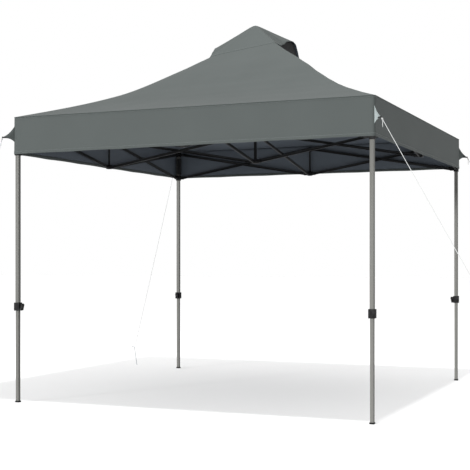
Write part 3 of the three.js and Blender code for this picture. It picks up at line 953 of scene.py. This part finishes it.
print("a side's first steps:", [round(step, 3) for step in list(along_steps(76))[:3]])

# %% The cloth's ripples and its two faces
def ripple(point, depth, span):
    """Small, smooth waves of the cloth, a fixed function of place."""
    return depth * noise.noise(point / span)


def clothe(piece, outside, inside, thickness):
    """Gives a sheet its two faces: the cloth outside, its coating inside."""
    piece.data.materials.append(outside)
    piece.data.materials.append(inside)
    body = piece.modifiers.new("cloth_thickness", "SOLIDIFY")
    body.thickness = thickness
    body.offset = -1
    body.use_even_offset = True
    body.material_offset = 1
    body.material_offset_rim = 0


print("sheet tools ready")

# %% [markdown]
# When the frame folds, real cloth gathers into pleats between the legs and slumps round the
# pole. Each point of the sheet is tied to the parts that carry it: its corner leg, the middle
# of its side, and the pole's tip. A Hook modifier for each of these pulls the point by its
# share. At rest the hooks do nothing, and in every pose between they gather the cloth evenly.

# %% Which body pulls how hard on a point of the cloth
TIP_FALL = 0.8458           # the pole's tip comes down this far when the frame folds
PLEATS = 3
POLE_ROOM = 0.040           # share of the half width that stays open round the pole's tip


def gather_weights(point, tip_share=True):
    """How much of each body's movement a point of the cloth takes."""
    x, y, z = point
    quarter = 0 if x >= abs(y) else 1 if y > abs(x) else 2 if -x >= abs(y) else 3
    local = turned(point, (4 - quarter) % 4)
    half = max(local.x, 1e-6)
    along = max(-1.0, min(1.0, local.y / half))
    pleat = 0.5 - 0.5 * math.cos(2 * math.pi * PLEATS * abs(along))
    ring = min(half / EAVE_HALF, 1.0)
    pull = max(0.0, ring - POLE_ROOM) / (1 - POLE_ROOM) * (1 - 0.045 * pleat)
    corner = corner_of(quarter, 1 if along >= 0 else -1)
    weights = {
        f"outer_leg_{corner}": pull * abs(along),
        f"mid_upper_{SIDES[quarter]}": pull * (1 - abs(along)),
    }
    if tip_share:
        inner = 1 - ring
        heap = EAVE_Z + 0.012 + 0.04 * inner + 0.16 * pleat * math.sin(math.pi * inner) ** 0.7
        weights["pole_tip"] = max(0.0, min(1.0, (z - heap) / TIP_FALL))
    return weights


print("gathering by", PLEATS, "pleats on each half side")

# %% Hooks that carry the pull
def gathers(piece, tip_share=True):
    """Hooks a sheet to the legs, the mid-side connectors and the pole, so it folds with them."""
    table = {}
    for vertex in piece.data.vertices:
        for body, weight in gather_weights(vertex.co, tip_share).items():
            if weight > 0.0005:
                table.setdefault(body, []).append((vertex.index, weight))
    for body, entries in sorted(table.items()):
        group = piece.vertex_groups.new(name=body)
        for index, weight in entries:
            group.add([index], weight, "REPLACE")
        hook = piece.modifiers.new(f"pulled_by_{body}", "HOOK")
        hook.object = frame["bodies"][body]
        hook.vertex_group = body
        hook.falloff_type = "NONE"
        hook.strength = 1.0
        hook.matrix_inverse = Matrix.Identity(4)
    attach(piece, "upper_hub")


corner_pulls = gather_weights(Vector((EAVE_HALF, EAVE_HALF, EAVE_Z)))
print("the eave's corner is pulled by", [part for part, pull in corner_pulls.items() if pull > 0])

# %% [markdown]
# The roof is the main sheet. It is laid as 53 square rings from the vent's opening to the eave,
# each at its own height, which gives one continuous hollow curve with soft creases at the hips.
# The Solidify modifier then gives it its thickness and its coated inside.

# %% The roof
ROOF_RINGS = [0.2 + (EAVE_HALF - 0.2) * (n / 52) ** 0.9 for n in range(53)]


def roof_place(quarter, along, half):
    z = roof_z(quarter, along, half)
    point = ring_point(quarter, along, half, z)
    calm = min(1.0, (EAVE_HALF - half) / 0.12, (half - 0.2) / 0.12) * (1 - abs(along) ** 6)
    wave = ripple(point + Vector((7, 3, 1)), 0.006, 0.55) + ripple(point, 0.0022, 0.16)
    return point + Vector((0, 0, wave * max(calm, 0.0)))


roof = ring_sheet("canopy_roof", ROOF_RINGS, 76, roof_place)
gathers(roof)
clothe(roof, OXFORD, COATED_SIDE, 0.001)
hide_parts("cover")
print("roof faces:", len(roof.data.polygons))

# %% [markdown]
# The valance is a plain strip sewn to the roof's edge. It hangs free between the corners, so it
# gets the same rings carried straight down, faint waves that grow towards the hem, and a hem
# that isn't quite level: the front left corner hangs lowest.

# %% The valance
HANGS_LOWER = {"back_right": -0.004, "back_left": 0.0, "front_left": 0.014, "front_right": 0.001}
VALANCE_RINGS = [EAVE_Z - (EAVE_Z - VALANCE_Z) * n / 14 for n in range(15)]


def valance_place(quarter, along, z):
    low = (EAVE_Z - z) / (EAVE_Z - VALANCE_Z)
    start, end = (HANGS_LOWER[corner_of(quarter, way)] for way in (-1, 1))
    half = EAVE_HALF + 0.0015 * low
    point = ring_point(quarter, along, half, z - low * (start + (end - start) * (along + 1) / 2))
    outward = turned((1, 0, 0), quarter)
    calm = (1 - abs(along) ** 8) * low
    wave = ripple(point * 1.0 + Vector((0, 0, 9)), 0.009, 0.42) * calm
    lift = 0.003 * math.sin(3 * math.pi * along) * low ** 2 if low > 0.99 else 0.0
    return point + outward * wave + Vector((0, 0, abs(lift)))


valance = ring_sheet("canopy_valance", VALANCE_RINGS, 76, valance_place)
gathers(valance, tip_share=False)
clothe(valance, OXFORD, COATED_SIDE, 0.001)
print("valance faces:", len(valance.data.polygons))

# %% [markdown]
# ## Hem, piping and bindings
#
# Raw cloth frays, so every edge is turned or bound. The valance's bottom is turned up twice
# into a hem 24 mm high, with a face on both sides. A cord in a tube of cloth, the piping, is
# sewn into the seam where the roof meets the valance, and narrow felled seams run down the
# four hips. They are swept shapes on the same rings, hooked like the cloth they are sewn to.

# %% Hem
HEM = ((0.024, 0.0006), (0.0235, 0.0016), (0.012, 0.0019), (0.001, 0.0017), (-0.0015, 0.0004),
       (-0.0015, -0.0016), (0.001, -0.0029), (0.012, -0.0029), (0.024, -0.0026))


def hem_place(quarter, along, step):
    """A point of the hem: rise above the valance's edge, and how far outside the cloth."""
    rise, out = HEM[step]
    point = valance_place(quarter, along, VALANCE_Z + max(rise, 0.0))
    return point + turned((out, 0, 0), quarter) + Vector((0, 0, min(rise, 0.0)))


hem = ring_sheet("valance_hem", range(len(HEM)), 76, hem_place)
gathers(hem, tip_share=False)
clothe(hem, OXFORD, OXFORD, 0.0008)
print("hem faces:", len(hem.data.polygons))

# %% Piping and felled seams
def mapped(piece):
    """Gives a thin swept piece the cloth map by place; its own cloth is too narrow to show."""
    layer = piece.data.uv_layers.new(name=CLOTH_MAP)
    for loop in piece.data.loops:
        x, y, z = piece.data.vertices[loop.vertex_index].co
        layer.data[loop.index].uv = (x + y, z)


def sewn_tube(name, path, radius, finish, tip_share=True):
    """A thin swept piece that is sewn to the cover and folds with it."""
    piece = new_piece(name, *tube(path, radius, 8))
    mapped(piece)
    piece.data.materials.append(finish)
    gathers(piece, tip_share)
    return piece


eave = [ring_point(k, along, EAVE_HALF + 0.0004, EAVE_Z)
        for k in range(4) for along in along_steps(76)]
sewn_tube("eave_piping", eave + eave[:1], 0.0019, OXFORD, False)
for quarter, corner in enumerate(CORNERS):
    hip = [roof_place(quarter, 1.0, half) + Vector((0, 0, 0.0002)) for half in ROOF_RINGS[3:]]
    sewn_tube(f"hip_seam_{corner}", hip, 0.0017, OXFORD)
print("piping", round(sum((b - a).length for a, b in zip(eave, eave[1:])), 2), "m long")

# %% [markdown]
# ## The vent cap
#
# Above the open top of the roof sits a little roof of its own, so that warm air gets out
# under it. Its corners are sewn down on the hips. At the front its edge is sewn flat to the
# roof and keeps the rain out. At the two sides and the back the edge is cut in an arch
# and stands up, highest towards the back. A black net closes the arches against insects.
# Each edge's height is read from a short table, because cloth held at two corners and pushed
# up by a pole doesn't follow a tidy formula.

# %% Vent cap edges
VENT_HALF = 0.300
SIDE_ARCH = {
    "right": ((-1.0, 0.0), (-0.6, 0.012), (-0.33, 0.045), (-0.1, 0.088), (0.1, 0.109),
              (0.43, 0.133), (0.67, 0.124), (0.83, 0.076), (0.94, 0.030), (1.0, 0.0)),
    "back": ((-1.0, 0.0), (-0.93, 0.05), (-0.8, 0.10), (-0.5, 0.135), (0.0, 0.145),
             (0.5, 0.135), (0.8, 0.10), (0.93, 0.05), (1.0, 0.0)),
    "left": ((-1.0, 0.0), (-0.93, 0.045), (-0.8, 0.10), (-0.6, 0.145), (-0.3, 0.160),
             (0.0, 0.155), (0.33, 0.130), (0.6, 0.102), (0.8, 0.056), (0.9, 0.022), (1.0, 0.0)),
    "front": ((-1.0, 0.0), (1.0, 0.0)),
}
SEWN_RISE = 0.0003
PEAK_ROUND = 0.12           # how blunt the pole makes the peak, as a share of the cap


def vent_edge_z(quarter, along):
    """Height of the cap's edge: sewn on the roof, or arched above it."""
    on_roof = roof_place(quarter, along, VENT_HALF).z + SEWN_RISE
    return on_roof + eased(SIDE_ARCH[SIDES[quarter]], along)


def cap_place(quarter, along, share):
    """Share 0 is the peak and 1 the edge; the cloth is blunt over the pole, then straight."""
    half = max(VENT_HALF * share, 0.0012)
    edge = vent_edge_z(quarter, along)
    fall = (math.hypot(share, PEAK_ROUND) - PEAK_ROUND) / (math.hypot(1, PEAK_ROUND) - PEAK_ROUND)
    top = PEAK_Z + 0.002
    return turned((half, half * along, top - (top - edge) * fall ** 0.9), quarter)


CAP_STEPS = 44              # quads along each side of the cap, close enough for round arches
cap = ring_sheet("canopy_vent_cap", [n / 26 for n in range(27)], CAP_STEPS, cap_place)
gathers(cap)
clothe(cap, OXFORD, COATED_SIDE, 0.001)
cap.modifiers["cloth_thickness"].use_even_offset = False    # it would spike in the folded pleats
print("vent cap faces:", len(cap.data.polygons))

binding = [cap_place(k, along, 1.0) for k in range(4) for along in along_steps(CAP_STEPS)]
sewn_tube("vent_binding", binding + binding[:1], 0.0012, OXFORD)

# %% [markdown]
# The net is knitted polyester, black so that it can't be seen against the dark inside. It is one
# strip that starts on the roof and ends on the cap, and where the cap is sewn flat it has no
# height at all.

# %% Vent net
def net_place(quarter, along, share):
    """A panel of net from the roof, just inside the cap's edge, up to the cap."""
    half = 0.290 - 0.005 * share
    foot = roof_z(quarter, along, half) - 0.002
    head = max(vent_edge_z(quarter, along) - 0.002 - (VENT_HALF - half) * 0.2, foot + 0.0005)
    return turned((half, half * along, foot + (head - foot) * share), quarter)


net = ring_sheet("canopy_vent_net", [n / 8 for n in range(9)], CAP_STEPS, net_place)
gathers(net)
net.data.materials.append(NETTING)
print("vent net faces:", len(net.data.polygons))

# %% [markdown]
# ## Lockstitches
#
# Two threads, locked in the middle of the cloth, leave a row of small dashes. There are
# thousands of them and each is the same, so Geometry Nodes lays them: the seam is an edge
# path, it is cut into points an even distance apart, and each point gets one grain of thread
# that lies along the path. Real stitches are 3 to 4 mm long. These are drawn 7 mm long and
# 11 mm apart, because finer ones wouldn't show.

# %% The stitch tree
stitch_tree = bpy.data.node_groups.new("lockstitches", "GeometryNodeTree")
face = stitch_tree.interface
face.new_socket("Geometry", in_out="INPUT", socket_type="NodeSocketGeometry")
STITCH_SIZES = {"Stitch spacing": 0.011, "Stitch length": 0.007, "Thread radius": 0.0009}
for size_name, size in STITCH_SIZES.items():
    socket = face.new_socket(size_name, in_out="INPUT", socket_type="NodeSocketFloat")
    socket.default_value = size
face.new_socket("Finish", in_out="INPUT", socket_type="NodeSocketMaterial")
face.new_socket("Geometry", in_out="OUTPUT", socket_type="NodeSocketGeometry")
given = add(stitch_tree, "NodeGroupInput").outputs

seam = add(stitch_tree, "GeometryNodeMeshToCurve", inputs={"Mesh": given["Geometry"]})
places = add(stitch_tree, "GeometryNodeCurveToPoints", {"mode": "LENGTH"}, {
    "Curve": seam.outputs["Curve"], "Length": given["Stitch spacing"]})
grain = add(stitch_tree, "GeometryNodeMeshUVSphere",
            inputs={"Segments": 5, "Rings": 4, "Radius": 1.0})
half_length = add(stitch_tree, "ShaderNodeMath", {"operation": "MULTIPLY"}, {
    0: given["Stitch length"], 1: 0.5})
long_grain = add(stitch_tree, "ShaderNodeCombineXYZ", inputs={
    "X": given["Thread radius"], "Y": given["Thread radius"], "Z": half_length.outputs[0]})
thread = add(stitch_tree, "GeometryNodeTransform", inputs={
    "Geometry": grain.outputs["Mesh"], "Scale": long_grain.outputs["Vector"]})
laid_out = add(stitch_tree, "GeometryNodeInstanceOnPoints", inputs={
    "Points": places.outputs["Points"], "Instance": thread.outputs["Geometry"],
    "Rotation": places.outputs["Rotation"]})
real = add(stitch_tree, "GeometryNodeRealizeInstances",
           inputs={"Geometry": laid_out.outputs["Instances"]})
spun = add(stitch_tree, "GeometryNodeSetMaterial", inputs={
    "Geometry": real.outputs["Geometry"], "Material": given["Finish"]})
add(stitch_tree, "NodeGroupOutput", inputs={"Geometry": spun.outputs["Geometry"]})
print("stitch tree:", len(stitch_tree.nodes), "nodes")

# %% Sew the rows
def stitched(name, rows, tip_share=True):
    """Rows of lockstitches along lists of points, as one plain mesh that folds with the cloth."""
    points, edges = [], []
    for row in rows:
        edges += [(len(points) + n, len(points) + n + 1) for n in range(len(row) - 1)]
        points += row
    mesh = bpy.data.meshes.new(f"{name}_rows")
    mesh.from_pydata([tuple(p) for p in points], edges, [])
    seed = bpy.data.objects.new(f"{name}_rows", mesh)
    scene.collection.objects.link(seed)
    piece = grown(name, seed, stitch_tree, {"Finish": THREAD})
    for polygon in piece.data.polygons:
        polygon.use_smooth = True
    gathers(piece, tip_share)
    print(name, "has", len(piece.data.polygons) // 20, "stitches")


def around(count, place):
    """One closed row round the tent."""
    row = [place(k, along) for k in range(4) for along in along_steps(count)]
    return row + row[:1]


PROUD = Vector((0, 0, 0.0007))
hip_rows = [[roof_place(k, way * (1 - 0.008 / half), half) + PROUD for half in ROOF_RINGS[5:-1]]
            for k in range(4) for way in (1, -1)]
stitched("roof_stitches", [
    *hip_rows,
    around(76, lambda k, along: roof_place(k, along, EAVE_HALF - 0.010) + PROUD),
    around(CAP_STEPS, lambda k, along: cap_place(k, along, 0.965) + PROUD),
])
stitched("valance_stitches", [
    around(76, lambda k, along: (valance_place(k, along, EAVE_Z - 0.009)
                                 + turned((0.0006, 0, 0), k))),
    around(76, lambda k, along: (valance_place(k, along, VALANCE_Z + 0.020)
                                 + turned((0.0022, 0, 0), k))),
], tip_share=False)

# %% [markdown]
# ## Painted shade bands on the leg tops
#
# Inside each corner of the cover a near-black band goes round the top of the leg, between the
# slider and the bracket. It is painted shade: it darkens the leg top, which lies in the cover's
# shadow there. It is a strip closed on itself, so it is laid as a square spiral a little larger
# than the tube, with its end overlapping its start.

# %% Painted shade bands round the leg tops
SHADE_BAND_LOW, SHADE_BAND_HIGH = LOWER_Z + 0.036, UPPER_Z - 0.040
TUBE_HALF = 0.015           # the outer leg is a 30 mm square tube


def shade_band_path(reach):
    """A square spiral round a tube: corners cut, the last side laid over the outer one."""
    ring = [(1, -0.6), (1, 0.8), (0.8, 1), (-0.8, 1), (-1, 0.8), (-1, -0.8), (-0.8, -1), (0.8, -1),
            (1.14, -0.7), (1.14, 0.6)]
    return [Vector((x * reach, y * reach, 0)) for x, y in ring]


for quarter, corner in enumerate(CORNERS):
    x, y, _ = turned((HALF, HALF, 0), quarter)
    path = [turned(p, quarter) for p in shade_band_path(TUBE_HALF + 0.0015)]
    heights = (SHADE_BAND_LOW, (SHADE_BAND_LOW + SHADE_BAND_HIGH) / 2, SHADE_BAND_HIGH)
    points = [p + Vector((x, y, z)) for z in heights for p in path]
    count = len(path)
    faces = [(j * count + i, j * count + i + 1, (j + 1) * count + i + 1, (j + 1) * count + i)
             for j in range(2) for i in range(count - 1)]
    # a band of painted shade: near-black where the cover's shadow falls on the leg top
    shade_band = new_piece(f"painted_shade_band_{corner}", points, faces, smooth=False)
    mapped(shade_band)
    shade_band.data.materials.append(WEBBING_AND_SHADE_BAND)
    strip_solidify = shade_band.modifiers.new("strip_thickness", "SOLIDIFY")
    strip_solidify.thickness = 0.0016
    strip_solidify.offset = 0
    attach(shade_band, f"outer_leg_{corner}")

# %% [markdown]
# ## Corner flaps
#
# A flap of doubled cloth is sewn into each corner of the valance, out along the diagonal. One
# of its faces wears a paler grey that is painted light, a lit copy of the cloth: the front flaps
# wear it on their first face and the back flaps on their other one. The tip is folded over a
# loop of black webbing, and the guy rope is tied through the loop. The rope's pull draws the
# edges of the flap tight and leaves its middle a little slack, so it isn't a flat triangle.

# %% The doubled cloth of a flap
FLAP_FOOT, FLAP_HEAD = 2.066, 2.192
FLAP_START = (EAVE_HALF - CORNER_ROUND) * math.sqrt(2) + CORNER_ROUND - 0.001
FLAP_TIP = EYE_REACH - 0.010


def flap_point(heading, out, up):
    """A point of a flap: out and up run from 0 to 1; the middle bellies to one side."""
    narrow = 1 - 0.90 * out ** 0.92
    middle = FLAP_FOOT + (FLAP_HEAD - FLAP_FOOT) * 0.5 * (1 - out) + (EYE_Z - FLAP_FOOT) * out
    height = (FLAP_HEAD - FLAP_FOOT) * narrow
    belly = 0.006 * math.sin(math.pi * out) * math.sin(math.pi * up)
    reach_out = FLAP_START + (FLAP_TIP - FLAP_START) * out
    drawn = 0.010 * math.sin(math.pi * out) * (abs(2 * up - 1) ** 2)
    side = Vector((-heading.y, heading.x, 0))
    z = middle + height * (up - 0.5) - math.copysign(drawn, up - 0.5)
    return heading * reach_out + side * belly + Vector((0, 0, z))


def flap(corner, heading):
    """The doubled cloth of one flap."""
    columns, rows = 16, 16
    points = [flap_point(heading, i / columns, j / rows)
              for i in range(columns + 1) for j in range(rows + 1)]
    faces = [(i * (rows + 1) + j, (i + 1) * (rows + 1) + j, (i + 1) * (rows + 1) + j + 1,
              i * (rows + 1) + j + 1) for i in range(columns) for j in range(rows)]
    piece = new_piece(f"corner_flap_{corner}", points, faces)
    layer = piece.data.uv_layers.new(name=CLOTH_MAP)
    for loop in piece.data.loops:
        p = piece.data.vertices[loop.vertex_index].co
        layer.data[loop.index].uv = (p.dot(heading), p.z)
    # painted light: the paler face is a lit copy of the cloth, not a coating
    faces_out = (FLAP_PAINTED_LIGHT_SIDE, OXFORD) if corner.startswith("front") else (OXFORD, FLAP_PAINTED_LIGHT_SIDE)
    for finish in faces_out:
        piece.data.materials.append(finish)
    body = piece.modifiers.new("doubled_cloth", "SOLIDIFY")
    body.thickness = 0.0018
    body.offset = 0
    body.material_offset = 1
    return piece


print("a flap reaches from", round(FLAP_START, 3), "to", round(FLAP_TIP, 3), "m")

# %% The webbing loop at its tip
def webbing_loop(corner, heading):
    """A strip of webbing sewn to both faces of the flap's tip, with an eye at its end."""
    side = Vector((-heading.y, heading.x, 0))
    half = [(FLAP_TIP - 0.030, 0.0022), (FLAP_TIP - 0.012, 0.0022), (FLAP_TIP, 0.0030),
            (EYE_REACH - 0.002, 0.0038), (EYE_REACH + 0.004, 0.0030)]
    outline = [*half, (EYE_REACH + 0.0066, 0.0), *[(out, -off) for out, off in reversed(half)]]
    path = smooth_path([heading * out + side * off for out, off in outline], 0.002)
    points = [p + Vector((0, 0, EYE_Z + z)) for z in (-0.0055, 0.0, 0.0055) for p in path]
    count = len(path)
    faces = [(j * count + i, j * count + i + 1, (j + 1) * count + i + 1, (j + 1) * count + i)
             for j in range(2) for i in range(count - 1)]
    loop = new_piece(f"webbing_loop_{corner}", points, faces)
    mapped(loop)
    loop.data.materials.append(WEBBING_AND_SHADE_BAND)
    strip_solidify = loop.modifiers.new("strip_thickness", "SOLIDIFY")
    strip_solidify.thickness = 0.0014
    strip_solidify.offset = 0
    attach(loop, f"outer_leg_{corner}")
    return loop


print("the loop ends", round(EYE_REACH + 0.0066, 3), "m from the middle")

# %% The four flaps
for quarter, corner in enumerate(CORNERS):
    heading = corner_heading(quarter)
    piece = flap(corner, heading)
    loop = webbing_loop(corner, heading)
    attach(piece, f"outer_leg_{corner}")
print("four flaps, tip at", round(FLAP_TIP, 3), "m from the middle")
